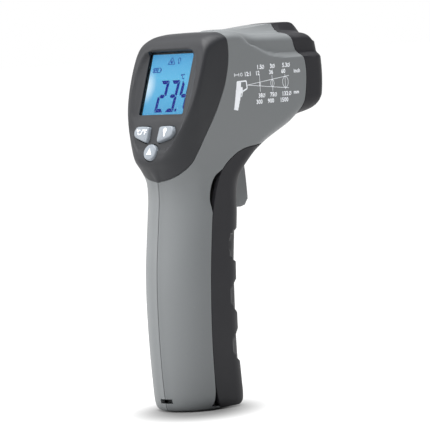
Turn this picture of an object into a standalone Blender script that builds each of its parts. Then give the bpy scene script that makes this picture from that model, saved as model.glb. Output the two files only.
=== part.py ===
"""Pistol-grip infrared thermometer, as separate pieces in their working positions.

+X is the right flank, +Y the aiming direction and +Z up. The base stands on z = 0.
Every length below is in millimetres; MM turns it into metres where a mesh is made.
"""

import math

import bmesh
import bpy
import numpy as np

MM = 0.001

# Driving dimensions
CENTRING = -0.1813  # added to every y, so that the bounding box stands over the origin
WALL = 2.0  # thickness of the outer skin
CROWN = 0.25  # how far the flat ends of a section swell
RIB_SHARES = (0.60, 0.44, 0.0)  # points across a flat end, which the top rib follows
GAP = 0.3  # clearance between neighbouring pieces
SEAM = 0.15  # half the gap between the two shells
FACE_TILT = math.radians(19.0)  # the display face leans forward at its top
FACE_RIM = 73.65  # distance of the face's rim plane from the origin, along its normal
LCD_HALF_WIDTH = 13.75
LCD_FROM, LCD_TO = 106.7, 134.2  # along the face, upwards
BATTERY = (26.5, 17.5, 46.5)  # a 9 V block, standing
BATTERY_Y, BATTERY_Z = -21.9, 7.8  # its middle and its underside
HINGE_Y, HINGE_Z = -12.5, 5.1
PIVOT_Y, PIVOT_Z = -1.0, 113.4
SLOT_HALF_WIDTH = 5.6
TRIGGER_HALF_WIDTH = 5.0
LENS_Z = 136.0
LASER_Z = 153.6

# Stations of the outer form from the base up the handle, round the bend and out to the nose:
# front or lower point (y, z), rear or upper point (y, z), flank half-width at each of them,
# then flat half-width and rounding depth at the front end, and the same at the rear end.
STATIONS = np.array(
    [
        (-9.6, 0.0, -37.8, 0.0, 12.8, 12.8, 6.5, 6.0, 0.0, 11.0),
        (-7.8, 1.1, -39.9, 1.1, 14.9, 14.9, 7.5, 7.0, 0.0, 12.5),
        (-7.2, 4.2, -40.8, 4.2, 16.3, 16.3, 8.0, 8.0, 0.0, 13.5),
        (-7.6, 12.0, -41.4, 12.0, 16.5, 16.5, 8.0, 8.0, 0.0, 14.0),
        (-8.1, 22.0, -41.8, 22.0, 16.6, 16.6, 8.2, 8.0, 0.0, 14.0),
        (-8.2, 35.0, -41.9, 35.0, 16.8, 16.8, 8.7, 8.0, 0.0, 14.0),
        (-7.9, 48.0, -41.6, 48.0, 17.0, 17.0, 9.0, 8.0, 0.0, 14.0),
        (-7.3, 60.0, -40.8, 60.0, 17.0, 17.0, 9.0, 8.0, 0.0, 14.0),
        (-6.1, 71.0, -39.4, 71.0, 17.0, 17.0, 9.0, 8.0, 0.0, 14.0),
        (-4.9, 81.0, -38.0, 81.0, 17.0, 17.0, 9.0, 8.0, 0.0, 14.0),
        (-4.6, 89.0, -37.0, 89.5, 17.0, 17.0, 9.5, 8.0, 0.0, 14.0),
        (-3.2, 95.4, -37.2, 96.0, 17.1, 17.0, 10.0, 8.0, 0.0, 14.0),
        (-0.4, 99.6, -39.2, 101.0, 17.2, 17.0, 10.5, 7.5, 1.0, 13.5),
        (2.6, 102.9, -40.9, 105.6, 17.3, 17.5, 11.0, 7.0, 5.2, 13.0),
        (6.1, 105.9, -39.5, 111.2, 17.4, 18.5, 11.0, 7.0, 10.9, 11.5),
        (9.8, 108.4, -36.6, 119.8, 17.8, 20.1, 11.0, 7.0, 16.6, 7.5),
        (12.9, 110.4, -34.2, 126.9, 18.3, 21.2, 11.5, 7.0, 19.5, 4.0),
        (16.1, 112.1, -31.6, 134.4, 18.8, 22.0, 12.0, 7.0, 20.8, 2.4),
        (19.3, 113.6, -28.6, 143.0, 19.4, 22.2, 12.0, 7.0, 21.0, 2.0),
        (21.7, 114.8, -26.2, 149.6, 19.8, 21.8, 12.5, 7.0, 20.0, 2.4),
        (23.0, 115.4, -24.6, 153.3, 20.0, 21.5, 12.5, 7.0, 17.6, 3.8),
        (24.2, 116.0, -22.0, 155.6, 20.2, 21.2, 12.5, 7.0, 15.2, 5.0),
        (25.4, 116.5, -17.8, 156.9, 20.3, 21.0, 12.5, 7.0, 14.6, 5.2),
        (26.8, 117.1, -10.0, 157.6, 20.4, 20.8, 12.5, 7.0, 14.4, 5.0),
        (28.2, 117.8, 0.0, 157.1, 20.5, 20.6, 12.5, 7.0, 15.2, 4.2),
        (29.6, 118.5, 10.0, 156.2, 20.6, 20.6, 12.5, 7.0, 16.2, 3.2),
        (31.0, 119.2, 20.0, 155.9, 20.7, 20.6, 12.5, 7.0, 16.5, 3.0),
        (33.6, 120.0, 30.0, 155.8, 20.9, 20.8, 12.5, 6.5, 16.5, 3.0),
        (37.4, 120.8, 37.0, 155.8, 21.2, 21.2, 12.5, 6.0, 16.8, 2.8),
        (40.6, 121.8, 40.6, 155.2, 21.1, 21.1, 12.5, 5.5, 16.6, 2.8),
        (42.6, 123.8, 42.6, 153.4, 20.0, 20.0, 12.0, 4.5, 16.0, 2.8),
    ]
)

DOOR_FOOT = 0.35  # height of the battery door's lower edge

# Lines in the side view, each (y, z)
BEZEL_LINE = [
    (-16.0, 164.0), (-14.0, 157.5), (-12.7, 154.0), (-12.3, 150.0), (-12.8, 145.0), (-14.8, 138.0),
    (-17.6, 131.5), (-21.7, 123.2), (-27.2, 113.6), (-32.3, 104.2), (-36.8, 97.4), (-40.3, 93.9),
    (-46.0, 89.5),
]
NOSE_LINE = [
    (26.0, 164.0), (26.6, 156.0), (27.6, 153.0), (29.0, 148.2), (31.5, 144.8), (32.6, 139.8),
    (32.3, 132.9), (30.8, 126.0), (28.2, 120.5), (25.0, 114.0),
]
DOOR_UPPER = [
    (14.0, 109.2), (8.0, 109.0), (-1.2, 108.1), (-6.3, 106.7), (-10.4, 104.5), (-14.0, 101.8),
    (-17.0, 98.4), (-19.2, 94.0), (-20.8, 89.5), (-22.2, 84.5), (-23.2, 80.0), (-24.9, 67.0),
    (-26.2, 54.5), (-27.1, 40.4), (-27.4, 25.8), (-27.2, 15.0),
]
DOOR_LINE = DOOR_UPPER + [(-26.9, 10.0), (-26.3, 6.2), (-25.4, 3.2), (-24.0, 1.2), (-22.2, DOOR_FOOT)]
SHELL_DOOR_LINE = DOOR_UPPER + [(-27.15, 9.0), (-27.4, 6.0), (-27.9, 3.6), (-28.6, 2.1), (-29.3, 1.5)]
NOTCH_LINE = [
    (-13.5, 101.2), (-17.1, 99.6), (-19.6, 97.9), (-21.6, 95.5), (-22.9, 92.6), (-23.6, 89.4),
    (-23.7, 86.0), (-23.2, 82.8), (-22.3, 79.9),
]
CREASE_LINE = np.array([(-6.0, 156.0), (2.1, 151.6), (8.2, 148.4), (12.1, 146.9), (16.7, 146.0),
                        (23.7, 145.5), (42.0, 145.3)])
CREASE_DEPTH = 0.112  # share of the half-width lost above the crease
GRIP_DISCS = ((-8.2, 67.5), (-8.6, 46.4), (-8.6, 25.6))  # finger rests on the battery door
GRIP_RADIUS = 6.9
GRIP_DEPTH = 0.65

PLASTIC = {
    "grey": ((0.17, 0.19, 0.20, 1.0), 0.45),
    "charcoal": ((0.050, 0.050, 0.054, 1.0), 0.55),
    "door": ((0.036, 0.035, 0.038, 1.0), 0.5),
    "key": ((0.52, 0.55, 0.60, 1.0), 0.35),
    "black": ((0.012, 0.012, 0.013, 1.0), 0.4),
    "board": ((0.02, 0.16, 0.06, 1.0), 0.4),
    "rubber": ((0.10, 0.10, 0.11, 1.0), 0.8),
    "red": ((0.6, 0.02, 0.02, 1.0), 0.45),
    "white": ((0.8, 0.8, 0.8, 1.0), 0.5),
    "blue": ((0.10, 0.42, 0.75, 1.0), 0.3),
    "clear": ((0.75, 0.85, 0.9, 1.0), 0.05),
    "foam": ((0.06, 0.06, 0.06, 1.0), 0.95),
}
METAL = {
    "steel": ((0.62, 0.62, 0.63, 1.0), 0.3),
    "brass": ((0.75, 0.58, 0.28, 1.0), 0.3),
    "gold": ((0.85, 0.65, 0.25, 1.0), 0.25),
}


# ---------------------------------------------------------------- small tools


def material_of(name, finish):
    """A Principled material for one piece."""
    made = bpy.data.materials.new(name + "_material")
    made.use_nodes = True
    shader = made.node_tree.nodes["Principled BSDF"]
    colour, roughness = PLASTIC.get(finish) or METAL[finish]
    shader.inputs["Base Color"].default_value = colour
    shader.inputs["Roughness"].default_value = roughness
    shader.inputs["Metallic"].default_value = float(finish in METAL)
    made.diffuse_color = colour
    return made


def mesh_object(name, points, faces):
    """An object from points in millimetres, with its faces turned outwards."""
    mesh = bpy.data.meshes.new(name)
    placed = [(float(x) * MM, float(y + CENTRING) * MM, float(z) * MM) for x, y, z in points]
    mesh.from_pydata(placed, [], faces)
    work = bmesh.new()
    work.from_mesh(mesh)
    bmesh.ops.recalc_face_normals(work, faces=work.faces)
    work.to_mesh(mesh)
    work.free()
    made = bpy.data.objects.new(name, mesh)
    bpy.context.scene.collection.objects.link(made)
    return made


def drop(made):
    """Removes a helper object."""
    bpy.data.objects.remove(made, do_unlink=True)


def combine(target, other, operation, keep=False):
    """Applies one Boolean to target and, unless it is kept, removes the other object."""
    step = target.modifiers.new(operation.lower(), "BOOLEAN")
    step.operation = operation
    step.solver = "EXACT"
    step.object = other
    graph = bpy.context.evaluated_depsgraph_get()
    mesh = bpy.data.meshes.new_from_object(target.evaluated_get(graph))
    target.modifiers.clear()
    target.data = mesh
    if not keep:
        drop(other)
    return target


def cut(target, *others):
    for other in others:
        combine(target, other, "DIFFERENCE")
    return target


def join(target, *others):
    for other in others:
        combine(target, other, "UNION")
    return target


def copy_of(source, name):
    made = source.copy()
    made.data = source.data.copy()
    made.name = name
    bpy.context.scene.collection.objects.link(made)
    return made


def piece(made, name, finish, origin=None, sharp=35.0):
    """Names a finished piece, gives it its material and shading, and moves its origin."""
    made.name = name
    made.data.name = name
    made.data.materials.clear()
    made.data.materials.append(material_of(name, finish))
    made.data.shade_smooth()
    made.data.set_sharp_from_angle(angle=math.radians(sharp))
    if origin is not None:
        shift = (np.array(origin) + (0.0, CENTRING, 0.0)) * MM
        for vertex in made.data.vertices:
            vertex.co.x -= shift[0]
            vertex.co.y -= shift[1]
            vertex.co.z -= shift[2]
        made.location = shift
    return made


def extruded(name, outline, low, high):
    """A closed prism between two lists of 3-D corners that run the same way round."""
    count = len(outline)
    points = [low(corner) for corner in outline] + [high(corner) for corner in outline]
    faces = [tuple(range(count)), tuple(range(2 * count - 1, count - 1, -1))]
    for i in range(count):
        after = (i + 1) % count
        faces.append((i, i + count, after + count, after))
    return mesh_object(name, points, faces)


def side_prism(outline, x_from, x_to, name="prism"):
    """An outline in the side view, run across the object."""
    return extruded(
        name, outline, lambda p: (x_from, p[0], p[1]), lambda p: (x_to, p[0], p[1])
    )


def face_point(x, up, out):
    """A point given across, up and out of the leaning display face."""
    sine, cosine = math.sin(FACE_TILT), math.cos(FACE_TILT)
    return (x, up * sine - out * cosine, up * cosine + out * sine)


def face_prism(outline, out_from, out_to, name="prism", grow=0.0):
    """An outline (x, up) on the display face, run along its normal; grow widens its outer end."""
    middle = np.mean(np.array(outline), axis=0)

    def far(corner):
        x, up = middle + (np.array(corner) - middle) * (1.0 + grow)
        return face_point(x, up, out_to)

    return extruded(name, outline, lambda p: face_point(p[0], p[1], out_from), far)


def box(x_range, y_range, z_range, name="box"):
    outline = [(y_range[i], z_range[j]) for i, j in ((0, 0), (1, 0), (1, 1), (0, 1))]
    return side_prism(outline, x_range[0], x_range[1], name)


def ring_points(radius, count, turn=0.0):
    angles = [turn + 2.0 * math.pi * i / count for i in range(count)]
    return [(radius * math.cos(angle), radius * math.sin(angle)) for angle in angles]


def rod(axis, centre, span, radius, count=24, end_radius=None, name="rod"):
    """A cylinder or cone along X or Y; centre holds the other two coordinates."""
    end_radius = radius if end_radius is None else end_radius

    def place(scale, along):
        def put(corner):
            a, b = centre[0] + corner[0] * scale, centre[1] + corner[1] * scale
            return (along, a, b) if axis == "X" else (a, along, b)

        return put

    unit = ring_points(1.0, count)
    return extruded(name, unit, place(radius, span[0]), place(end_radius, span[1]))


def face_rod(x, up, out_from, out_to, radius, count=24, name="rod"):
    outline = [(x + a, up + b) for a, b in ring_points(radius, count)]
    return face_prism(outline, out_from, out_to, name)


def rounded_rectangle(half_width, low, high, radius, steps=4):
    """Corners (x, up) of an upright rectangle with rounded corners."""
    corners = ((1, high, 0.0), (-1, high, 90.0), (-1, low, 180.0), (1, low, 270.0))
    outline = []
    for side, level, start in corners:
        centre_x = side * (half_width - radius)
        centre_up = level - radius if level == high else level + radius
        for i in range(steps + 1):
            angle = math.radians(start + 90.0 * i / steps)
            outline.append(
                (centre_x + radius * math.cos(angle), centre_up + radius * math.sin(angle))
            )
    return outline


def plan_prism(half_width, y_range, z_range, radius, name="prism"):
    """An upright prism whose plan is a rectangle with rounded corners."""
    outline = rounded_rectangle(half_width, y_range[0], y_range[1], radius, 3)
    return extruded(
        name, outline, lambda p: (p[0], p[1], z_range[0]), lambda p: (p[0], p[1], z_range[1])
    )


def tube(path, radius, count=8, name="tube"):
    """A round wire along a path of 3-D points, closed at both ends."""
    path = np.array(path, float)
    rings = []
    normal = None
    for i, point in enumerate(path):
        before, after = path[max(i - 1, 0)], path[min(i + 1, len(path) - 1)]
        along = (after - before) / np.linalg.norm(after - before)
        if normal is None:
            normal = np.cross(along, (0.31, 0.59, 0.74))
        normal = normal - along * normal.dot(along)
        normal /= np.linalg.norm(normal)
        other = np.cross(along, normal)
        rings.append([point + a * normal + b * other for a, b in ring_points(radius, count)])
    points = [point for ring in rings for point in ring]
    faces = [tuple(range(count))]
    for i in range(len(rings) - 1):
        for j in range(count):
            after = (j + 1) % count
            faces.append(
                (i * count + j, i * count + after, (i + 1) * count + after, (i + 1) * count + j)
            )
    last = (len(rings) - 1) * count
    faces.append(tuple(range(last, last + count)))
    return mesh_object(name, points, faces)


def moved_line(line, distance):
    """A side-view line moved to its left by a distance."""
    line = np.array(line, float)
    ahead = np.gradient(line, axis=0)
    ahead /= np.linalg.norm(ahead, axis=1)[:, None]
    return line + distance * np.stack([-ahead[:, 1], ahead[:, 0]], axis=1)


# ---------------------------------------------------------------- the outer form


def smooth(value, low, high):
    """0 below low, 1 above high and an S between."""
    t = np.clip((value - low) / (high - low), 0.0, 1.0)
    return t * t * (3.0 - 2.0 * t)


def station(position):
    """The station table read at a fractional row, on a smooth curve through its rows."""
    row = min(int(position), len(STATIONS) - 2)
    t = position - row
    a, b, c, d = (STATIONS[np.clip(row + k, 0, len(STATIONS) - 1)] for k in (-1, 0, 1, 2))
    return b + 0.5 * t * (
        c - a + t * (2.0 * a - 5.0 * b + 4.0 * c - d + t * (3.0 * (b - c) + d - a))
    )


def half_section(values, inset):
    """Points from the front middle round the right flank to the rear middle of one station."""
    front, rear = values[0:2], values[2:4]
    along = (rear - front) / np.linalg.norm(rear - front)
    front, rear = front + along * inset, rear - along * inset
    length = np.linalg.norm(rear - front)
    side_front, side_rear = values[4] - inset, values[5] - inset
    flat_front, deep_front = max(values[6] - inset, 0.0), values[7] - 0.5 * inset
    flat_rear, deep_rear = max(values[8] - inset, 0.0), values[9] - 0.5 * inset
    places = [(flat_front * t, CROWN * (t * t - 1.0)) for t in (0.0, 0.5)]
    for t in np.linspace(0.0, 0.5 * math.pi, 6):
        wide = side_front + (side_rear - side_front) * deep_front / length
        places.append(
            (
                flat_front + (wide - flat_front) * math.sin(t),
                deep_front * (1.0 - math.cos(t)),
            )
        )
    for t in np.linspace(0.0, 1.0, 8)[1:-1]:
        down = deep_front + (length - deep_front - deep_rear) * t
        places.append((side_front + (side_rear - side_front) * down / length, down))
    for t in np.linspace(0.5 * math.pi, 0.1, 9):
        wide = side_rear - (side_rear - side_front) * deep_rear / length
        places.append(
            (
                flat_rear + (wide - flat_rear) * math.sin(t),
                length - deep_rear * (1.0 - math.cos(t)),
            )
        )
    edge, level = places[-1]
    places += [(edge * t, level + (length + CROWN - level) * (1.0 - t * t)) for t in RIB_SHARES]
    return np.array([(x, *(front + along * down)) for x, down in places])


def shaped(points, inset):
    """Presses the crease, the top rib, the nose's bulge and the finger rests into the form."""
    x, y, z = points[:, 0].copy(), points[:, 1].copy(), points[:, 2].copy()
    crease = np.interp(y, CREASE_LINE[:, 0], CREASE_LINE[:, 1])
    above = smooth(z, crease - 1.3, crease + 1.3) * smooth(y, -8.0, 3.0)
    x = x * (1.0 - CREASE_DEPTH * above)
    ahead = smooth(y, 22.0, 36.0)
    y = y - 0.0088 * (z - 138.0) ** 2 * ahead
    top = smooth(z, 150.0, 153.0)
    rib = smooth(-np.abs(x), inset - 9.9, inset - 8.3) * smooth(y, -2.5, 0.5)
    z = z + top * rib * (0.9 + 2.7 * smooth(y, -4.0, 34.0))
    z = z - top * smooth(y, -4.0, 6.0) * 1.3 * (np.abs(x) / 17.0) ** 2 * (1.0 - rib)
    for disc_y, disc_z in GRIP_DISCS if inset == 0.0 else ():
        reach = np.hypot(y - disc_y, z - disc_z)
        inside = 1.0 - smooth(reach, GRIP_RADIUS - 0.5, GRIP_RADIUS + 0.1)
        y = y - inside * GRIP_DEPTH * smooth(y, disc_y - 9.0, disc_y - 3.0)
        x = x * (1.0 - 0.045 * inside)
    return np.stack([x, y, z], axis=1)


def form(inset, name, steps=2, first=0.0, last=None):
    """The whole outer form, or a smaller one inside it, as one closed mesh."""
    last = len(STATIONS) - 1 if last is None else last
    positions = np.linspace(first, last, int(round((last - first) * steps)) + 1)
    halves = [shaped(half_section(station(p), inset), inset) for p in positions]
    count = len(halves[0])
    around = 2 * count - 2
    points = []
    for half in halves:
        left = half[-2:0:-1] * np.array([-1.0, 1.0, 1.0])
        points.extend(np.concatenate([half, left]))
    faces = []
    for i in range(len(halves) - 1):
        for j in range(around):
            after = (j + 1) % around
            faces.append(
                (i * around + j, i * around + after,
                 (i + 1) * around + after, (i + 1) * around + j)
            )
    for start in (0, (len(halves) - 1) * around):
        faces.append((start, start + 1, start + around - 1))
        for j in range(1, count - 2):
            faces.append(
                (start + j, start + j + 1, start + around - j - 1, start + around - j)
            )
        faces.append((start + count - 2, start + count - 1, start + count))
    return mesh_object(name, points, faces)


def region(line, corners):
    """A wide prism on one side of a side-view line, closed round the given corners."""
    return side_prism([tuple(p) for p in line] + list(corners), -40.0, 40.0)


def bezel_region(grow):
    return region(moved_line(BEZEL_LINE, grow), [(-60.0, 91.0), (-60.0, 164.0)])


def nose_region(grow):
    return region(moved_line(NOSE_LINE, -grow), [(60.0, 114.0), (60.0, 164.0)])


def hollow_skin():
    """The form with its cavity, which the outer pieces are cut from."""
    skin = form(0.0, "skin")
    cavity = form(WALL, "cavity", steps=1, first=1.12, last=len(STATIONS) - 1.6)
    return cut(skin, cavity)


# ---------------------------------------------------------------- outer pieces


SCREWS = ((-29.5, 67.0), (11.0, 121.5), (-2.0, 149.6))  # (y, z) of the case screws
SCREW_SEAT = (9.0, 12.0, 11.0)  # where each head sits, measured from the seam
BOSS_REACH = (14.0, 19.4, 18.0)  # where each boss meets the flank


def make_shells(skin):
    """Both grey shells, with their screw bosses, the trigger's opening and the strap slot."""
    body = copy_of(skin, "body")
    line = moved_line(SHELL_DOOR_LINE, -GAP)
    foot = [(-24.9, 1.5), (-24.1, 0.8), (-24.1, -3.0), (30.0, -3.0), (30.0, 109.2 + GAP)]
    door_space = cut(region(line, foot), box((-11.4, 11.4), (-24.6, -15.6), (-5.0, 1.6)))
    cut(body, bezel_region(GAP), nose_region(GAP), door_space)
    notch = NOTCH_LINE + [(-8.0, 84.0), (-6.0, 96.0)]
    cut(body, side_prism(notch, -40.0, 40.0))
    cut(body, box((-3.7, 3.7), (-50.0, -36.4), (3.7, 5.6)))
    cut(body, box((-SLOT_HALF_WIDTH, SLOT_HALF_WIDTH), (-9.0, 10.2), (90.0, 113.6)))
    join(body, box((-5.5, 5.5), (-35.6, -34.6), (0.8, 6.4)))
    for x in (-6.0, 6.0):
        lug = [(-19.0, 0.6), (-16.0, 0.6), (-15.0, 2.4), (-13.4, 3.4), (-11.7, 3.4), (-10.7, 4.4),
               (-10.7, 5.9), (-11.5, 6.9), (-13.6, 6.9), (-16.2, 5.0), (-19.0, 2.0)]
        join(body, side_prism(lug, x - 1.0, x + 1.0))
    for (y, z), reach in zip(SCREWS, BOSS_REACH):
        join(body, rod("X", (y, z), (-reach, reach), 3.6, 16))
    cut(body, rod("X", (HINGE_Y, HINGE_Z), (-9.0, 9.0), 1.35, 16))
    shells = {}
    for side, name in ((1.0, "shell_right"), (-1.0, "shell_left")):
        half = copy_of(body, name)
        x_range = sorted((side * SEAM, side * 60.0))
        combine(half, box(x_range, (-70.0, 70.0), (-10.0, 180.0)), "INTERSECT")
        shells[name] = half
    for (y, z), deep in zip(SCREWS, SCREW_SEAT):
        cut(shells["shell_left"], rod("X", (y, z), (-30.0, -deep), 2.6, 16))
        cut(shells["shell_left"], rod("X", (y, z), (-deep - 1.0, 1.0), 1.55, 12))
        cut(shells["shell_right"], rod("X", (y, z), (-1.0, deep - 1.0), 1.3, 12))
    drop(body)
    for name, half in shells.items():
        piece(half, name, "grey", sharp=28.0)


def key_outline(side):
    """The unit or lamp key: square inner end, rounded outer end, lower edge slanting up."""
    return [(side * x, up) for x, up in (
        (2.9, 95.0), (3.1, 100.4), (3.9, 101.2), (9.6, 101.4), (11.4, 100.8), (12.2, 99.2),
        (12.1, 97.6), (10.9, 96.3), (5.0, 94.4), (3.5, 94.2))]


def up_key_outline():
    return [(3.8 * a, 90.0 + 3.5 * b) for a, b in ring_points(1.0, 20)]


def grown(outline, extra):
    """An outline widened by a distance along its own normals."""
    outline = np.array(outline, float)
    ahead = np.roll(outline, -1, axis=0) - np.roll(outline, 1, axis=0)
    ahead /= np.linalg.norm(ahead, axis=1)[:, None]
    outward = np.stack([ahead[:, 1], -ahead[:, 0]], axis=1)
    if ((outline - outline.mean(axis=0)) * outward).sum() < 0.0:
        outward = -outward
    return [tuple(p) for p in outline + extra * outward]


def face_field():
    """Outline of the shallow field inside the bezel's raised lip."""
    right = [(17.4, 146.6), (18.6, 141.0), (18.9, 134.0), (18.0, 126.0), (16.0, 118.5),
             (12.6, 112.8), (8.8, 109.2)]
    sine, cosine = math.sin(FACE_TILT), math.cos(FACE_TILT)
    outline = []
    for x, z in right:
        outline.append((x, (z - FACE_RIM * sine) / cosine))
    top = [(15.6, outline[0][1] + 3.6), (11.0, outline[0][1] + 5.2)]
    half = top[::-1] + outline
    return half + [(-x, up) for x, up in half[::-1]]


def make_bezel(skin):
    bezel = copy_of(skin, "display_bezel")
    combine(bezel, bezel_region(0.0), "INTERSECT")
    cut(bezel, face_prism(face_field(), FACE_RIM - 0.6, FACE_RIM + 4.0, grow=0.12))
    dish = rounded_rectangle(LCD_HALF_WIDTH + 1.9, LCD_FROM - 2.0, LCD_TO + 1.9, 1.5, 2)
    cut(bezel, face_prism(dish, FACE_RIM - 1.3, FACE_RIM + 1.0, grow=0.06))
    opening = rounded_rectangle(LCD_HALF_WIDTH, LCD_FROM, LCD_TO, 0.8, 2)
    cut(bezel, face_prism(opening, FACE_RIM - 5.0, FACE_RIM + 3.0))
    for outline in (key_outline(1), key_outline(-1), up_key_outline()):
        cut(bezel, face_prism(grown(outline, 0.35), FACE_RIM - 5.0, FACE_RIM + 3.0))
    piece(bezel, "display_bezel", "charcoal", sharp=28.0)


def make_nose(skin):
    nose = copy_of(skin, "nose_ring")
    combine(nose, nose_region(0.0), "INTERSECT")
    cut(nose, rod("Y", (0.0, LENS_Z), (30.0, 50.0), 9.2, 40))
    cut(nose, rod("Y", (0.0, LENS_Z), (38.6, 43.4), 8.7, 36, end_radius=13.0))
    cut(nose, rod("Y", (0.0, LASER_Z), (30.0, 50.0), 2.6, 24))
    piece(nose, "nose_ring", "charcoal", sharp=28.0)


def make_door(skin):
    """The battery door: front and side walls of the grip, split round the trigger."""
    door = copy_of(skin, "battery_door")
    combine(door, region(DOOR_LINE, [(30.0, DOOR_FOOT), (30.0, 109.2)]), "INTERSECT")
    slot = [(-20.0, 82.0), (20.0, 82.0), (20.0, 130.0), (-20.0, 130.0)]
    cut(door, side_prism(slot, -SLOT_HALF_WIDTH, SLOT_HALF_WIDTH))
    cut(door, box((-14.2, 14.2), (-30.0, -11.0), (-2.0, 9.0)))
    for x in (-9.6, 9.6):
        lug = [(-14.4, 3.9), (-13.6, 3.2), (-8.6, 3.2), (-8.6, 7.0), (-13.4, 7.0), (-14.4, 6.2)]
        join(door, side_prism(lug, x - 1.2, x + 1.2))
    cut(door, rod("X", (HINGE_Y, HINGE_Z), (-13.0, 13.0), 1.35, 16))
    piece(door, "battery_door", "door", origin=(0.0, HINGE_Y, HINGE_Z), sharp=28.0)


# ---------------------------------------------------------------- display and keys


def make_display():
    window = face_prism(rounded_rectangle(15.2, 105.0, 135.4, 1.0, 2), 70.15, 71.35)
    piece(window, "display_window", "clear")
    panel = face_prism(rounded_rectangle(15.6, 101.6, 136.2, 0.6, 2), 66.8, 69.8)
    piece(panel, "lcd_module", "blue")
    light = face_prism(rounded_rectangle(15.0, 105.2, 135.4, 0.6, 2), 64.6, 66.5)
    piece(light, "backlight_panel", "white")
    piece(face_prism(rounded_rectangle(14.0, 102.0, 104.6, 0.4, 2), 63.9, 66.5),
          "zebra_connector", "rubber")
    board = [(16.0, 104.0), (16.0, 136.8), (-16.0, 136.8), (-16.0, 104.0), (-11.0, 90.4),
             (11.0, 90.4)]
    piece(face_prism(board, 62.0, 63.6), "main_board", "board")
    mat = [(12.6, 101.0), (-12.6, 101.0), (-10.6, 93.0), (-5.6, 87.6), (5.6, 87.6), (10.6, 93.0)]
    piece(face_prism(mat, 68.6, 69.8), "keypad_mat", "rubber")
    piece(face_rod(0.0, 118.0, 57.8, 61.7, 5.0), "beeper", "black")


def make_keys():
    for name, outline in (
        ("key_unit", key_outline(-1)),
        ("key_light", key_outline(1)),
        ("key_up", up_key_outline()),
    ):
        key = face_prism(outline, 70.9, FACE_RIM + 0.5)
        cap = face_prism(outline, FACE_RIM + 0.3, FACE_RIM + 0.95, grow=-0.12)
        join(key, cap)
        centre = np.mean(np.array(outline), axis=0)
        piece(key, name, "key", origin=face_point(centre[0], centre[1], 70.9))


# ---------------------------------------------------------------- optics


def make_optics():
    barrel = rod("Y", (0.0, LENS_Z), (22.0, 39.0), 8.8, 40)
    cut(barrel, rod("Y", (0.0, LENS_Z), (24.5, 40.0), 6.9, 40))
    cut(barrel, rod("Y", (0.0, LENS_Z), (21.0, 26.0), 4.9, 32))
    piece(barrel, "lens_barrel", "black")
    lens = rod("Y", (0.0, LENS_Z), (33.6, 34.8), 6.6, 40)
    join(lens, rod("Y", (0.0, LENS_Z), (34.6, 35.8), 6.2, 40, end_radius=4.0))
    piece(lens, "infrared_lens", "clear")
    piece(rod("Y", (0.0, LENS_Z), (20.2, 25.0), 4.4, 32), "sensor_can", "steel")
    board = [(13.0, 125.0), (13.0, 146.0), (-13.0, 146.0), (-13.0, 125.0)]
    made = extruded("board", board, lambda p: (p[0], 18.0, p[1]), lambda p: (p[0], 19.6, p[1]))
    piece(made, "sensor_board", "board")
    laser = rod("Y", (0.0, LASER_Z), (14.0, 33.0), 3.0, 24)
    cut(laser, rod("Y", (0.0, LASER_Z), (31.0, 34.0), 1.4, 16))
    piece(laser, "laser_module", "brass")
    piece(rod("Y", (0.0, LASER_Z), (34.0, 35.2), 2.2, 24), "laser_window", "clear")


# ---------------------------------------------------------------- trigger


def make_trigger():
    blade = [(8.1, 85.4), (8.5, 87.2), (7.7, 100.0), (6.0, 106.0), (3.0, 110.4), (2.4, 115.2),
             (0.6, 116.8), (-2.6, 116.8), (-4.4, 115.2), (-4.8, 108.0), (-5.4, 100.0), (-5.4, 84.0),
             (-4.2, 82.7), (4.2, 82.7), (6.6, 83.3)]
    trigger = side_prism(blade, -TRIGGER_HALF_WIDTH, TRIGGER_HALF_WIDTH)
    pocket = [(-7.0, 86.0), (5.0, 86.0), (4.7, 99.0), (0.3, 104.0), (-7.0, 104.0)]
    cut(trigger, side_prism(pocket, -TRIGGER_HALF_WIDTH + 1.6, -0.8))
    cut(trigger, side_prism(pocket, 0.8, TRIGGER_HALF_WIDTH - 1.6))
    for side in (-1.0, 1.0):
        x_range = sorted((side * 2.6, side * 6.0))
        cut(trigger, box(x_range, (-8.0, 6.0), (109.6, 120.0)))
    cut(trigger, rod("X", (PIVOT_Y, PIVOT_Z), (-8.0, 8.0), 1.5, 16))
    piece(trigger, "trigger", "grey", origin=(0.0, PIVOT_Y, PIVOT_Z))
    piece(rod("X", (PIVOT_Y, PIVOT_Z), (-8.6, 8.6), 1.2, 16), "trigger_pivot_pin", "steel")
    turns, wire, coil = 3.0, 0.3, 2.1
    path = [(3.2, PIVOT_Y - 8.2, PIVOT_Z - coil)]
    for i in range(int(turns * 12) + 1):
        angle = -0.5 * math.pi + 2.0 * math.pi * i / 12
        path.append((3.2 + 2.0 * i / (turns * 12), PIVOT_Y + coil * math.cos(angle),
                     PIVOT_Z + coil * math.sin(angle)))
    path.append((5.2, PIVOT_Y + 4.0, PIVOT_Z - coil))
    piece(tube(path, wire, 5), "trigger_spring", "steel")
    bracket = box((-11.6, 11.6), (-13.6, -12.1), (63.0, 103.0))
    for side in (-1.0, 1.0):
        x_range = sorted((side * 6.1, side * 7.9))
        ear = [(-13.6, 95.0), (-11.0, 97.0), (2.0, 110.6), (2.4, 116.0), (-3.0, 117.0),
               (-13.6, 108.0)]
        join(bracket, side_prism(ear, x_range[0], x_range[1]))
    cut(bracket, rod("X", (PIVOT_Y, PIVOT_Z), (-9.0, 9.0), 1.5, 16))
    piece(bracket, "trigger_bracket", "black")
    switch = box((-3.1, 3.1), (-11.8, -9.2), (92.0, 98.2))
    join(switch, rod("Y", (0.0, 95.1), (-9.4, -7.9), 1.6, 16))
    piece(switch, "trigger_switch", "black")


# ---------------------------------------------------------------- battery


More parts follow.
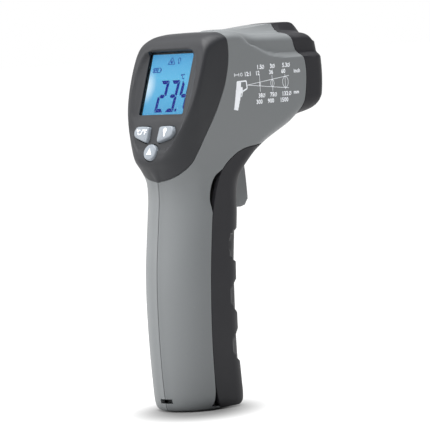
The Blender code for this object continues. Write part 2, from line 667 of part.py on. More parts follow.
def make_battery():
    width, deep, tall = BATTERY
    y_range = (BATTERY_Y - deep / 2.0, BATTERY_Y + deep / 2.0)
    cell = plan_prism(width / 2.0, y_range, (BATTERY_Z, BATTERY_Z + tall), 2.6)
    top = BATTERY_Z + tall
    for x in (-6.3, 6.3):
        stud = [(x + a, BATTERY_Y + b) for a, b in ring_points(2.8 if x < 0.0 else 3.4, 16)]
        join(cell, extruded("stud", stud, lambda p: (p[0], p[1], top - 0.5),
                            lambda p: (p[0], p[1], top + 1.8)))
    piece(cell, "battery", "black")
    snap = box((-12.6, 12.6), (BATTERY_Y - 6.2, BATTERY_Y + 6.2), (top + 2.2, top + 4.6))
    piece(snap, "battery_snap", "black")
    for name, finish, x in (("battery_lead_red", "red", 3.0), ("battery_lead_black", "black", -3.0)):
        path = [(x * 2.0, BATTERY_Y - 1.0, top + 5.4), (x * 1.8, BATTERY_Y - 3.0, 66.0),
                (x, -27.2, 74.0), (x, -27.8, 86.0), (x * 1.4, -26.6, 97.0),
                (x * 1.6, -23.4, 105.0), (x * 1.6, -23.8, 109.6)]
        piece(tube(path, 0.65, 8), name, finish)
    tray = plan_prism(13.9, (-32.1, -19.0), (6.6, 61.0), 4.0)
    cut(tray, plan_prism(13.45, (-30.85, 0.0), (7.4, 63.0), 2.8))
    cut(tray, box((-15.0, 15.0), (-18.5, 0.0), (58.0, 63.0)))
    for z in (20.0, 40.0):
        cut(tray, box((-8.0, 8.0), (-35.0, -30.0), (z - 6.0, z + 6.0)))
    piece(tray, "battery_tray", "charcoal")
    piece(box((-9.0, 9.0), (-12.7, -11.2), (26.0, 38.0)), "battery_pad", "foam")
    piece(rod("X", (HINGE_Y, HINGE_Z), (-11.4, 11.4), 1.05, 16), "door_hinge_pin", "steel")


def make_screws():
    for number, ((y, z), deep) in enumerate(zip(SCREWS, SCREW_SEAT), 1):
        screw = rod("X", (y, z), (-deep - 1.9, -deep - 0.3), 2.2, 20, name="screw")
        join(screw, rod("X", (y, z), (-deep - 0.6, deep - 2.0), 1.0, 12))
        for turn in (0.0, 90.0):
            half = (1.3, 0.3) if turn == 0.0 else (0.3, 1.3)
            cut(screw, box((-deep - 3.0, -deep - 1.2), (y - half[0], y + half[0]),
                           (z - half[1], z + half[1])))
        piece(screw, f"case_screw_{number}", "steel")


def main():
    for leftover in list(bpy.data.objects):
        bpy.data.objects.remove(leftover, do_unlink=True)
    skin = hollow_skin()
    make_shells(skin)
    make_bezel(skin)
    make_nose(skin)
    make_door(skin)
    drop(skin)
    make_display()
    make_keys()
    make_optics()
    make_trigger()
    make_battery()
    make_screws()


main()
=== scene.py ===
"""Looks of the infrared thermometer: case, display, keys, print, materials, light and camera."""

import math

import bmesh
import bpy
import numpy as np
from mathutils import Matrix, Vector
from mathutils.bvhtree import BVHTree


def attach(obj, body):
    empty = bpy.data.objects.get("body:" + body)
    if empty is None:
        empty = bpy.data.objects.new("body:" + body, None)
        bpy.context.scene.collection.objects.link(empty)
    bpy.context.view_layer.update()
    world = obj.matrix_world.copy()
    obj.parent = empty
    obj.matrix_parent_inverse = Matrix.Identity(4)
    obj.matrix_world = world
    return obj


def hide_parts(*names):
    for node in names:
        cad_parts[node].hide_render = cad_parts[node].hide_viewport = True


MM = 0.001
CENTRING = -0.1813  # added to every y, as in the part
WALL = 2.0
CROWN = 0.25
GAP = 0.3
SEAM = 0.15
FACE_TILT = math.radians(19.0)
FACE_RIM = 73.65
LCD_HALF_WIDTH = 13.75
LCD_FROM, LCD_TO = 106.7, 134.2
HINGE_Y, HINGE_Z = -12.5, 5.1
PIVOT_Y, PIVOT_Z = -1.0, 113.4
SLOT_HALF_WIDTH = 5.6
TRIGGER_HALF_WIDTH = 5.0
LENS_Z = 136.0
LASER_Z = 153.6

# Stations of the outer form from the base up the handle, round the bend and out to the nose:
# front or lower point (y, z), rear or upper point (y, z), flank half-width at each of them,
# then flat half-width and rounding depth at the front end, and the same at the rear end.
STATIONS = np.array(
    [
        (-9.6, 0.0, -37.8, 0.0, 12.8, 12.8, 6.5, 6.0, 0.0, 11.0),
        (-7.8, 1.1, -39.9, 1.1, 14.9, 14.9, 7.5, 7.0, 0.0, 12.5),
        (-7.2, 4.2, -40.8, 4.2, 16.3, 16.3, 8.0, 8.0, 0.0, 13.5),
        (-7.6, 12.0, -41.4, 12.0, 16.5, 16.5, 8.0, 8.0, 0.0, 14.0),
        (-8.1, 22.0, -41.8, 22.0, 16.6, 16.6, 8.2, 8.0, 0.0, 14.0),
        (-8.2, 35.0, -41.9, 35.0, 16.8, 16.8, 8.7, 8.0, 0.0, 14.0),
        (-7.9, 48.0, -41.6, 48.0, 17.0, 17.0, 9.0, 8.0, 0.0, 14.0),
        (-7.3, 60.0, -40.8, 60.0, 17.0, 17.0, 9.0, 8.0, 0.0, 14.0),
        (-6.1, 71.0, -39.4, 71.0, 17.0, 17.0, 9.0, 8.0, 0.0, 14.0),
        (-4.9, 81.0, -38.0, 81.0, 17.0, 17.0, 9.0, 8.0, 0.0, 14.0),
        (-4.6, 89.0, -37.0, 89.5, 17.0, 17.0, 9.5, 8.0, 0.0, 14.0),
        (-3.2, 95.4, -37.2, 96.0, 17.1, 17.0, 10.0, 8.0, 0.0, 14.0),
        (-0.4, 99.6, -39.2, 101.0, 17.2, 17.0, 10.5, 7.5, 1.0, 13.5),
        (2.6, 102.9, -40.9, 105.6, 17.3, 17.5, 11.0, 7.0, 5.2, 13.0),
        (6.1, 105.9, -39.5, 111.2, 17.4, 18.5, 11.0, 7.0, 10.9, 11.5),
        (9.8, 108.4, -36.6, 119.8, 17.8, 20.1, 11.0, 7.0, 16.6, 7.5),
        (12.9, 110.4, -34.2, 126.9, 18.3, 21.2, 11.5, 7.0, 19.5, 4.0),
        (16.1, 112.1, -31.6, 134.4, 18.8, 22.0, 12.0, 7.0, 20.8, 2.4),
        (19.3, 113.6, -28.6, 143.0, 19.4, 22.2, 12.0, 7.0, 21.0, 2.0),
        (21.7, 114.8, -26.2, 149.6, 19.8, 21.8, 12.5, 7.0, 20.0, 2.4),
        (23.0, 115.4, -24.6, 153.3, 20.0, 21.5, 12.5, 7.0, 17.6, 3.8),
        (24.2, 116.0, -22.0, 155.6, 20.2, 21.2, 12.5, 7.0, 15.2, 5.0),
        (25.4, 116.5, -17.8, 156.9, 20.3, 21.0, 12.5, 7.0, 14.6, 5.2),
        (26.8, 117.1, -10.0, 157.6, 20.4, 20.8, 12.5, 7.0, 14.4, 5.0),
        (28.2, 117.8, 0.0, 157.1, 20.5, 20.6, 12.5, 7.0, 15.2, 4.2),
        (29.6, 118.5, 10.0, 156.2, 20.6, 20.6, 12.5, 7.0, 16.2, 3.2),
        (31.0, 119.2, 20.0, 155.9, 20.7, 20.6, 12.5, 7.0, 16.5, 3.0),
        (33.6, 120.0, 30.0, 155.8, 20.9, 20.8, 12.5, 6.5, 16.5, 3.0),
        (37.4, 120.8, 37.0, 155.8, 21.2, 21.2, 12.5, 6.0, 16.8, 2.8),
        (40.6, 121.8, 40.6, 155.2, 21.1, 21.1, 12.5, 5.5, 16.6, 2.8),
        (42.6, 123.8, 42.6, 153.4, 20.0, 20.0, 12.0, 4.5, 16.0, 2.8),
    ]
)

DOOR_FOOT = 0.35  # height of the battery door's lower edge

# Lines in the side view, each (y, z)
BEZEL_LINE = [
    (-16.0, 164.0), (-14.0, 157.5), (-12.7, 154.0), (-12.3, 150.0), (-12.8, 145.0), (-14.8, 138.0),
    (-17.6, 131.5), (-21.7, 123.2), (-27.2, 113.6), (-32.3, 104.2), (-36.8, 97.4), (-40.3, 93.9),
    (-46.0, 89.5),
]
NOSE_LINE = [
    (26.0, 164.0), (26.6, 156.0), (27.6, 153.0), (29.0, 148.2), (31.5, 144.8), (32.6, 139.8),
    (32.3, 132.9), (30.8, 126.0), (28.2, 120.5), (25.0, 114.0),
]
DOOR_UPPER = [
    (14.0, 109.2), (8.0, 109.0), (-1.2, 108.1), (-6.3, 106.7), (-10.4, 104.5), (-14.0, 101.8),
    (-17.0, 98.4), (-19.2, 94.0), (-20.8, 89.5), (-22.2, 84.5), (-23.2, 80.0), (-24.9, 67.0),
    (-26.2, 54.5), (-27.1, 40.4), (-27.4, 25.8), (-27.2, 15.0),
]
DOOR_LINE = DOOR_UPPER + [(-26.9, 10.0), (-26.3, 6.2), (-25.4, 3.2), (-24.0, 1.2), (-22.2, DOOR_FOOT)]
SHELL_DOOR_LINE = DOOR_UPPER + [(-27.15, 9.0), (-27.4, 6.0), (-27.9, 3.6), (-28.6, 2.1), (-29.3, 1.5)]
NOTCH_LINE = [
    (-13.5, 101.2), (-17.1, 99.6), (-19.6, 97.9), (-21.6, 95.5), (-22.9, 92.6), (-23.6, 89.4),
    (-23.7, 86.0), (-23.2, 82.8), (-22.3, 79.9),
]
CREASE_LINE = np.array([(-6.0, 156.0), (2.1, 151.6), (8.2, 148.4), (12.1, 146.9), (16.7, 146.0),
                        (23.7, 145.5), (42.0, 145.3)])
CREASE_DEPTH = 0.112
GRIP_DISCS = ((-8.2, 67.5), (-8.6, 46.4), (-8.6, 25.6))
GRIP_RADIUS = 6.9
GRIP_DEPTH = 0.65
DISH_CENTRE, DISH_RADIUS, DISH_DEPTH = (-20.4, 92.0), 8.1, 0.55
SCREWS = ((-29.5, 67.0), (11.0, 121.5), (-2.0, 149.6))
SCREW_SEAT = (9.0, 12.0, 11.0)
BOSS_REACH = (14.0, 19.4, 18.0)

# Points per half section: front flat, front rounding, flank, rear rounding, rear flat
COARSE = (2, 6, 6, 9, 3)
FINE = (3, 9, 34, 13, 8)
FACE = (2, 4, 12, 16, 28)


# ---------------------------------------------------------------- meshes


def mesh_object(name, points, faces):
    """An object from points in millimetres, with its faces turned outwards."""
    mesh = bpy.data.meshes.new(name)
    points = (np.array(points, float) + (0.0, CENTRING, 0.0)) * MM
    mesh.from_pydata(points.tolist(), [], faces)
    work = bmesh.new()
    work.from_mesh(mesh)
    bmesh.ops.recalc_face_normals(work, faces=work.faces)
    work.to_mesh(mesh)
    work.free()
    made = bpy.data.objects.new(name, mesh)
    bpy.context.scene.collection.objects.link(made)
    return made


def drop(made):
    bpy.data.objects.remove(made, do_unlink=True)


def baked(target):
    """Applies the modifiers of an object to its mesh."""
    graph = bpy.context.evaluated_depsgraph_get()
    mesh = bpy.data.meshes.new_from_object(target.evaluated_get(graph))
    target.modifiers.clear()
    target.data = mesh
    return target


def combine(target, other, operation):
    step = target.modifiers.new("step", "BOOLEAN")
    step.operation = operation
    step.solver = "EXACT"
    step.object = other
    baked(target)
    drop(other)
    return target


def cut(target, *others):
    for other in others:
        combine(target, other, "DIFFERENCE")
    return target


def join(target, *others):
    for other in others:
        combine(target, other, "UNION")
    return target


def merged(objects):
    """Several separate closed meshes as one object, to use in one Boolean."""
    work = bmesh.new()
    for made in objects:
        work.from_mesh(made.data)
    mesh = bpy.data.meshes.new("merged")
    work.to_mesh(mesh)
    work.free()
    for made in objects:
        drop(made)
    whole = bpy.data.objects.new("merged", mesh)
    bpy.context.scene.collection.objects.link(whole)
    return whole


def copy_of(source, name):
    made = source.copy()
    made.data = source.data.copy()
    made.name = name
    bpy.context.scene.collection.objects.link(made)
    return made


def extruded(outline, low, high):
    """A closed prism between two lists of 3-D corners that run the same way round."""
    count = len(outline)
    points = [low(corner) for corner in outline] + [high(corner) for corner in outline]
    faces = [tuple(range(count)), tuple(range(2 * count - 1, count - 1, -1))]
    for i in range(count):
        after = (i + 1) % count
        faces.append((i, i + count, after + count, after))
    return mesh_object("prism", points, faces)


def side_prism(outline, x_from, x_to):
    return extruded(
        outline, lambda p: (x_from, p[0], p[1]), lambda p: (x_to, p[0], p[1])
    )


def face_point(x, up, out):
    """A point given across, up and out of the leaning display face."""
    sine, cosine = math.sin(FACE_TILT), math.cos(FACE_TILT)
    return (x, up * sine - out * cosine, up * cosine + out * sine)


def face_prism(outline, out_from, out_to):
    return extruded(
        outline,
        lambda p: face_point(p[0], p[1], out_from),
        lambda p: face_point(p[0], p[1], out_to),
    )


def box(x_range, y_range, z_range):
    outline = [(y_range[i], z_range[j]) for i, j in ((0, 0), (1, 0), (1, 1), (0, 1))]
    return side_prism(outline, x_range[0], x_range[1])


def ring_points(radius, count):
    angles = [2.0 * math.pi * i / count for i in range(count)]
    return [(radius * math.cos(angle), radius * math.sin(angle)) for angle in angles]


def rod(axis, centre, span, radius, count=48, end_radius=None):
    end_radius = radius if end_radius is None else end_radius

    def place(scale, along):
        def put(corner):
            a, b = centre[0] + corner[0] * scale, centre[1] + corner[1] * scale
            return (along, a, b) if axis == "X" else (a, along, b)

        return put

    unit = ring_points(1.0, count)
    return extruded(unit, place(radius, span[0]), place(end_radius, span[1]))


def rounded_rectangle(half_width, low, high, radius, steps=6):
    corners = ((1, high, 0.0), (-1, high, 90.0), (-1, low, 180.0), (1, low, 270.0))
    outline = []
    for side, level, start in corners:
        centre_x = side * (half_width - radius)
        centre_up = level - radius if level == high else level + radius
        for i in range(steps + 1):
            angle = math.radians(start + 90.0 * i / steps)
            outline.append(
                (centre_x + radius * math.cos(angle), centre_up + radius * math.sin(angle))
            )
    return outline


def curved(line, steps=5):
    """A side-view line with more points, on a smooth curve through its own."""
    line = np.array(line, float)
    made = []
    for i in range(len(line) - 1):
        a, b, c, d = (line[np.clip(i + k, 0, len(line) - 1)] for k in (-1, 0, 1, 2))
        for t in np.arange(steps) / steps:
            bend = 2 * a - 5 * b + 4 * c - d + t * (3 * (b - c) + d - a)
            made.append(b + 0.5 * t * (c - a + t * bend))
    return np.array(made + [line[-1]])


def moved_line(line, distance):
    ahead = np.gradient(line, axis=0)
    ahead /= np.linalg.norm(ahead, axis=1)[:, None]
    return line + distance * np.stack([-ahead[:, 1], ahead[:, 0]], axis=1)


# ---------------------------------------------------------------- the outer form


def smooth(value, low, high):
    t = np.clip((value - low) / (high - low), 0.0, 1.0)
    return t * t * (3.0 - 2.0 * t)


def station(position):
    row = min(int(position), len(STATIONS) - 2)
    t = position - row
    a, b, c, d = (STATIONS[np.clip(row + k, 0, len(STATIONS) - 1)] for k in (-1, 0, 1, 2))
    return b + 0.5 * t * (
        c - a + t * (2.0 * a - 5.0 * b + 4.0 * c - d + t * (3.0 * (b - c) + d - a))
    )


def half_section(values, inset, counts):
    """Points from the front middle round the right flank to the rear middle of one station."""
    front, rear = values[0:2], values[2:4]
    along = (rear - front) / np.linalg.norm(rear - front)
    front, rear = front + along * inset, rear - along * inset
    length = np.linalg.norm(rear - front)
    side_front, side_rear = values[4] - inset, values[5] - inset
    flat_front, deep_front = max(values[6] - inset, 0.0), values[7] - 0.5 * inset
    flat_rear, deep_rear = max(values[8] - inset, 0.0), values[9] - 0.5 * inset
    places = [
        (flat_front * t, CROWN * (t * t - 1.0)) for t in np.linspace(0.0, 1.0, counts[0] + 1)[:-1]
    ]
    wide = side_front + (side_rear - side_front) * deep_front / length
    for t in np.linspace(0.0, 0.5 * math.pi, counts[1]):
        places.append(
            (flat_front + (wide - flat_front) * math.sin(t), deep_front * (1.0 - math.cos(t)))
        )
    for t in np.linspace(0.0, 1.0, counts[2] + 2)[1:-1]:
        down = deep_front + (length - deep_front - deep_rear) * t
        places.append((side_front + (side_rear - side_front) * down / length, down))
    wide = side_rear - (side_rear - side_front) * deep_rear / length
    for t in np.linspace(0.5 * math.pi, 0.1, counts[3]):
        places.append(
            (
                flat_rear + (wide - flat_rear) * math.sin(t),
                length - deep_rear * (1.0 - math.cos(t)),
            )
        )
    edge, level = places[-1]
    for t in np.linspace(1.0, 0.0, counts[4] + 1)[1:]:
        places.append((edge * t, level + (length + CROWN - level) * (1.0 - t * t)))
    return np.array([(x, *(front + along * down)) for x, down in places])


def shaped(points, inset, dish=False):
    """Presses the crease, the top rib, the nose's bulge, the finger rests and the dish in."""
    x, y, z = points[:, 0].copy(), points[:, 1].copy(), points[:, 2].copy()
    crease = np.interp(y, CREASE_LINE[:, 0], CREASE_LINE[:, 1])
    above = smooth(z, crease - 1.3, crease + 1.3) * smooth(y, -8.0, 3.0)
    x = x * (1.0 - CREASE_DEPTH * above)
    ahead = smooth(y, 22.0, 36.0)
    y = y - 0.0088 * (z - 138.0) ** 2 * ahead
    top = smooth(z, 150.0, 153.0)
    rib = smooth(-np.abs(x), inset - 9.9, inset - 8.3) * smooth(y, -2.5, 0.5)
    z = z + top * rib * (0.9 + 2.7 * smooth(y, -4.0, 34.0))
    z = z - top * smooth(y, -4.0, 6.0) * 1.3 * (np.abs(x) / 17.0) ** 2 * (1.0 - rib)
    if inset == 0.0:
        for disc_y, disc_z in GRIP_DISCS:
            reach = np.hypot(y - disc_y, z - disc_z)
            inside = 1.0 - smooth(reach, GRIP_RADIUS - 0.5, GRIP_RADIUS + 0.1)
            y = y - inside * GRIP_DEPTH * smooth(y, disc_y - 9.0, disc_y - 3.0)
            x = x * (1.0 - 0.045 * inside)
    if dish:
        reach = np.hypot(y - DISH_CENTRE[0], z - DISH_CENTRE[1])
        x = x - DISH_DEPTH * smooth(-reach, -DISH_RADIUS, 2.6 - DISH_RADIUS) * smooth(x, 12.0, 15.0)
    return np.stack([x, y, z], axis=1)


def form(inset, counts, steps, first=0.0, last=None, pressed=None, dish=False):
    """The outer form between two stations, or a smaller one inside it, as one closed mesh."""
    last = len(STATIONS) - 1 if last is None else last
    positions = np.linspace(first, last, int(round((last - first) * steps)) + 1)
    halves = [shaped(half_section(station(p), inset, counts), inset, dish) for p in positions]
    if pressed:
        halves = [pressed(half) for half in halves]
    count = len(halves[0])
    around = 2 * count - 2
    points = []
    for half in halves:
        left = half[-2:0:-1] * np.array([-1.0, 1.0, 1.0])
        points.extend(np.concatenate([half, left]))
    faces = []
    for i in range(len(halves) - 1):
        for j in range(around):
            after = (j + 1) % around
            faces.append(
                (i * around + j, i * around + after,
                 (i + 1) * around + after, (i + 1) * around + j)
            )
    for start in (0, (len(halves) - 1) * around):
        faces.append((start, start + 1, start + around - 1))
        for j in range(1, count - 2):
            faces.append(
                (start + j, start + j + 1, start + around - j - 1, start + around - j)
            )
        faces.append((start + count - 2, start + count - 1, start + count))
    return mesh_object("form", points, faces)


def cavity():
    return form(WALL, COARSE, 1, first=1.12, last=len(STATIONS) - 1.6)


def region(line, corners):
    return side_prism([tuple(p) for p in line] + list(corners), -40.0, 40.0)


def bezel_region(grow):
    return region(moved_line(curved(BEZEL_LINE), grow), [(-60.0, 91.0), (-60.0, 164.0)])


def nose_region(grow):
    return region(moved_line(curved(NOSE_LINE), -grow), [(60.0, 114.0), (60.0, 164.0)])


def finished(made, name, material, node, body="body", sharp=28.0):
    """Names a piece that stands for a CAD node, gives it its body, shading and material, and hides
    that node when one is given.
    """
    made.name = name
    made.data.name = name
    made.data.materials.clear()
    made.data.materials.append(material)
    made.data.shade_smooth()
    made.data.set_sharp_from_angle(angle=math.radians(sharp))
    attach(made, body)
    if node:
        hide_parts(node)
    return made


# ---------------------------------------------------------------- materials


def new_material(name):
    made = bpy.data.materials.new(name)
    made.use_nodes = True
    tree = made.node_tree
    return made, tree, tree.nodes["Principled BSDF"]


def node(tree, kind, settings=(), **links):
    """Adds a node, sets its properties and values, and links its inputs."""
    made = tree.nodes.new(kind)
    for key, value in dict(settings).items():
        setattr(made, key, value)
    for key, value in links.items():
        numbered = key[0] == "i" and key[1:].isdigit()
        socket = made.inputs[int(key[1:])] if numbered else made.inputs[key]
        if isinstance(value, bpy.types.NodeSocket):
            tree.links.new(value, socket)
        else:
            socket.default_value = value
    return made


def mapped(tree, value, low, high, start, end, kind="LINEAR"):
    """A value carried from one range to another, in a straight line or along a smooth S."""
    made = node(tree, "ShaderNodeMapRange", {"interpolation_type": kind}, Value=value)
    for key, number in (("From Min", low), ("From Max", high), ("To Min", start), ("To Max", end)):
        made.inputs[key].default_value = number
    return made.outputs["Result"]


UNEVEN = 0.06  # how far the roughness wanders to either side


def surface(name, colour, roughness, grain=0.12, grain_scale=2600.0, mottle=0.05, wear=0.18,
            specular=0.5, metallic=0.0, rounding=0.25):
    """A procedural finish: mottled colour, worn edges, uneven roughness, grain and soft edges."""
    made, tree, shader = new_material(name)
    link = tree.links.new
    place = node(tree, "ShaderNodeTexCoord").outputs["Object"]
    broad = node(tree, "ShaderNodeTexNoise", Vector=place, Scale=55.0, Detail=4.0, Roughness=0.6)
    fine = node(tree, "ShaderNodeTexNoise", Vector=place, Scale=grain_scale, Detail=2.0)
    speck = node(tree, "ShaderNodeTexNoise", Vector=place, Scale=900.0, Detail=3.0)
    colour = np.array(colour)
    dark, light = colour * (1.0 - mottle), colour * (1.0 + mottle)
    base = node(tree, "ShaderNodeMix", {"data_type": "RGBA"}, i0=broad.outputs["Fac"])
    base.inputs[6].default_value = (*dark, 1.0)
    base.inputs[7].default_value = (*light, 1.0)
    dust = mapped(tree, speck.outputs["Fac"], 0.62, 0.8, 0.0, 0.35)
    dusted = node(tree, "ShaderNodeMix", {"data_type": "RGBA"}, i0=dust, i6=base.outputs[2])
    dusted.inputs[7].default_value = (*(colour * 1.15), 1.0)
    pointed = node(tree, "ShaderNodeNewGeometry").outputs["Pointiness"]
    edges = mapped(tree, pointed, 0.53, 0.62, 0.0, wear)
    rubbed = node(tree, "ShaderNodeMath", {"operation": "MULTIPLY"}, i0=edges,
                  i1=broad.outputs["Fac"])
    worn_colour = node(tree, "ShaderNodeMix", {"data_type": "RGBA"}, i0=rubbed.outputs[0],
                       i6=dusted.outputs[2])
    worn_colour.inputs[7].default_value = (*np.minimum(colour * 1.9, 1.0), 1.0)
    link(worn_colour.outputs[2], shader.inputs["Base Color"])
    shine = mapped(tree, broad.outputs["Fac"], 0.3, 0.7, roughness - UNEVEN, roughness + UNEVEN)
    link(shine, shader.inputs["Roughness"])
    shader.inputs["Metallic"].default_value = metallic
    shader.inputs["Specular IOR Level"].default_value = specular
    bump = node(tree, "ShaderNodeBump", Strength=grain, Distance=0.00006, Height=fine.outputs["Fac"])
    if rounding:
        soft = node(tree, "ShaderNodeBevel", {"samples": 4}, Radius=rounding * MM)
        link(soft.outputs["Normal"], bump.inputs["Normal"])
    link(bump.outputs["Normal"], shader.inputs["Normal"])
    made.diffuse_color = (*colour, 1.0)
    return made


def glowing(name, colour):
    """A flat ink: dark to the light falling on it, with its own glow."""
    made, tree, shader = new_material(name)
    shader.inputs["Base Color"].default_value = (*(np.array(colour) * 0.2), 1.0)
    shader.inputs["Roughness"].default_value = 0.5
    shader.inputs["Specular IOR Level"].default_value = 0.1
    shader.inputs["Emission Color"].default_value = (*colour, 1.0)
    shader.inputs["Emission Strength"].default_value = 1.0
    return made


def srgb(*values):
    """A linear colour from display values between 0 and 255."""
    return tuple(
        v / 12.92 if v <= 0.04045 else ((v + 0.055) / 1.055) ** 2.4
        for v in (value / 255.0 for value in values)
    )


def display_light():
    """The backlit blue of the display, with the lamp's bright patch at its left edge."""
    made, tree, shader = new_material("display_light")
    place = node(tree, "ShaderNodeTexCoord").outputs["Generated"]
    axes = node(tree, "ShaderNodeSeparateXYZ", Vector=place)
    ramp = node(tree, "ShaderNodeValToRGB", Fac=axes.outputs["Z"])
    stops = ramp.color_ramp
    stops.elements[0].color = (*srgb(78, 160, 208), 1.0)
    stops.elements[1].color = (*srgb(74, 152, 203), 1.0)
    for position, colour in ((0.3, (86, 174, 219)), (0.62, (93, 182, 225)), (0.85, (82, 168, 217))):
        stops.elements.new(position).color = (*srgb(*colour), 1.0)
    lamp = node(tree, "ShaderNodeVectorMath", {"operation": "SUBTRACT"}, i0=place,
                i1=(0.0, 0.5, 0.47))
    lamp = node(tree, "ShaderNodeVectorMath", {"operation": "MULTIPLY"}, i0=lamp.outputs[0],
                i1=(4.2, 0.0, 3.0))
    reach = node(tree, "ShaderNodeVectorMath", {"operation": "LENGTH"}, i0=lamp.outputs[0])
    near = mapped(tree, reach.outputs["Value"], 0.0, 1.0, 1.0, 0.0, "SMOOTHSTEP")
    lit = node(tree, "ShaderNodeMix", {"data_type": "RGBA"}, i0=near, i6=ramp.outputs["Color"])
    lit.inputs[7].default_value = (*srgb(214, 240, 255), 1.0)
    tree.links.new(lit.outputs[2], shader.inputs["Emission Color"])
    shader.inputs["Emission Strength"].default_value = 1.0
    shader.inputs["Base Color"].default_value = (0.01, 0.02, 0.03, 1.0)
    shader.inputs["Specular IOR Level"].default_value = 0.1
    return made


def clear(name, colour, alpha):
    """A thin clear sheet: mostly see-through, with a faint even haze of fine scratches."""
    made, tree, shader = new_material(name)
    place = node(tree, "ShaderNodeTexCoord").outputs["Object"]
    haze = node(tree, "ShaderNodeTexNoise", Vector=place, Scale=240.0, Detail=5.0)
    shine = mapped(tree, haze.outputs["Fac"], 0.0, 1.0, 0.025, 0.1)
    tree.links.new(shine, shader.inputs["Roughness"])
    shader.inputs["Base Color"].default_value = (*colour, 1.0)
    shader.inputs["Alpha"].default_value = alpha
    return made


GREY = surface("grey_plastic", (0.152, 0.162, 0.167), 0.46, grain=0.10)
CHARCOAL = surface("charcoal_plastic", (0.022, 0.023, 0.026), 0.5, grain=0.22, specular=0.3)
GRIP = surface("grip_plastic", (0.019, 0.019, 0.022), 0.52, grain=0.22, specular=0.28)
SILVER = surface("silver_keys", (0.21, 0.235, 0.265), 0.36, grain=0.05, mottle=0.03)
BLACK = surface("black_plastic_finish", (0.012, 0.012, 0.013), 0.42)
WHITE = surface("white_ink", (0.82, 0.84, 0.88), 0.5, grain=0.02, mottle=0.02, rounding=0.0, wear=0.0)
BOARD = surface("green_board", (0.015, 0.11, 0.045), 0.38, grain=0.15, grain_scale=1200.0)
RUBBER = surface("grey_rubber", (0.07, 0.07, 0.075), 0.75, grain=0.3, specular=0.3)
FOAM = surface("black_foam", (0.03, 0.03, 0.03), 0.95, grain=0.9, grain_scale=1600.0, specular=0.2)
MILKY = surface("milky_plastic", (0.75, 0.76, 0.74), 0.4, grain=0.04)
RED = surface("red_lead_finish", (0.5, 0.012, 0.01), 0.42, grain=0.05)
LEAD = surface("black_lead_finish", (0.014, 0.014, 0.015), 0.42, grain=0.05)
STEEL = surface("turned_steel", (0.55, 0.55, 0.56), 0.3, grain=0.12, metallic=1.0, mottle=0.04)
BRASS = surface("turned_brass", (0.62, 0.44, 0.18), 0.3, grain=0.12, metallic=1.0, mottle=0.04)
CELL = surface("battery_case_finish", (0.03, 0.032, 0.036), 0.3, grain=0.05)
OPTIC = surface("dark_optic", (0.03, 0.028, 0.035), 0.12, grain=0.0, rounding=0.1)
DISPLAY = surface("display_glass_finish", (0.16, 0.30, 0.36), 0.2, grain=0.0)
NAVY = glowing("display_ink", srgb(8, 26, 120))
PALE_NAVY = glowing("display_faint_ink", srgb(18, 48, 138))
LIGHT = display_light()
WINDOW = clear("clear_window_finish", (0.02, 0.03, 0.04), 0.04)
LASER_GLASS = clear("laser_glass", (0.5, 0.1, 0.1), 0.5)


# ---------------------------------------------------------------- case


def make_shells():
    body = cut(form(0.0, FINE, 7, dish=True), cavity())
    line = moved_line(curved(SHELL_DOOR_LINE), -GAP)
    foot = [(-24.9, 1.5), (-24.1, 0.8), (-24.1, -3.0), (30.0, -3.0), (30.0, 109.2 + GAP)]
    door_space = cut(region(line, foot), box((-11.4, 11.4), (-24.6, -15.6), (-5.0, 1.6)))
    cut(body, merged([bezel_region(GAP), nose_region(GAP), door_space]))
    notch = [tuple(p) for p in curved(NOTCH_LINE)] + [(-8.0, 84.0), (-6.0, 96.0)]
    cut(body, side_prism(notch, -40.0, 40.0))
    cut(body, merged([
        box((-3.7, 3.7), (-50.0, -36.4), (3.7, 5.6)),
        box((-SLOT_HALF_WIDTH, SLOT_HALF_WIDTH), (-9.0, 10.2), (90.0, 113.6)),
    ]))
    inner = [box((-5.5, 5.5), (-35.6, -34.6), (0.8, 6.4))]
    for x in (-6.0, 6.0):
        lug = [(-19.0, 0.6), (-16.0, 0.6), (-15.0, 2.4), (-13.4, 3.4), (-11.7, 3.4), (-10.7, 4.4),
               (-10.7, 5.9), (-11.5, 6.9), (-13.6, 6.9), (-16.2, 5.0), (-19.0, 2.0)]
        inner.append(side_prism(lug, x - 1.0, x + 1.0))
    bosses = [rod("X", at, (-reach, reach), 3.6, 32) for at, reach in zip(SCREWS, BOSS_REACH)]
    join(body, inner[0])
    join(body, merged(inner[1:] + bosses))
    cut(body, rod("X", (HINGE_Y, HINGE_Z), (-9.0, 9.0), 1.35, 32))
    for side, name in ((1.0, "shell_right"), (-1.0, "shell_left")):
        half = copy_of(body, name)
        x_range = sorted((side * SEAM, side * 60.0))
        combine(half, box(x_range, (-70.0, 70.0), (-10.0, 180.0)), "INTERSECT")
        if side < 0.0:
            wide = [rod("X", at, (-30.0, -deep), 2.6) for at, deep in zip(SCREWS, SCREW_SEAT)]
            cut(half, merged(wide))
            cut(half, merged([rod("X", at, (-13.0, 1.0), 1.55, 24) for at in SCREWS]))
        else:
            cut(half, merged([rod("X", at, (-1.0, deep - 1.0), 1.3, 24)
                              for at, deep in zip(SCREWS, SCREW_SEAT)]))
        finished(half, "fine_" + name, GREY, name)
    drop(body)


def key_outline(side):
    return [(side * x, up) for x, up in (
        (2.9, 95.0), (3.1, 100.4), (3.9, 101.2), (9.6, 101.4), (11.4, 100.8), (12.2, 99.2),
        (12.1, 97.6), (10.9, 96.3), (5.0, 94.4), (3.5, 94.2))]


def up_key_outline(count=40):
    return [(3.8 * a, 90.0 + 3.5 * b) for a, b in ring_points(1.0, count)]


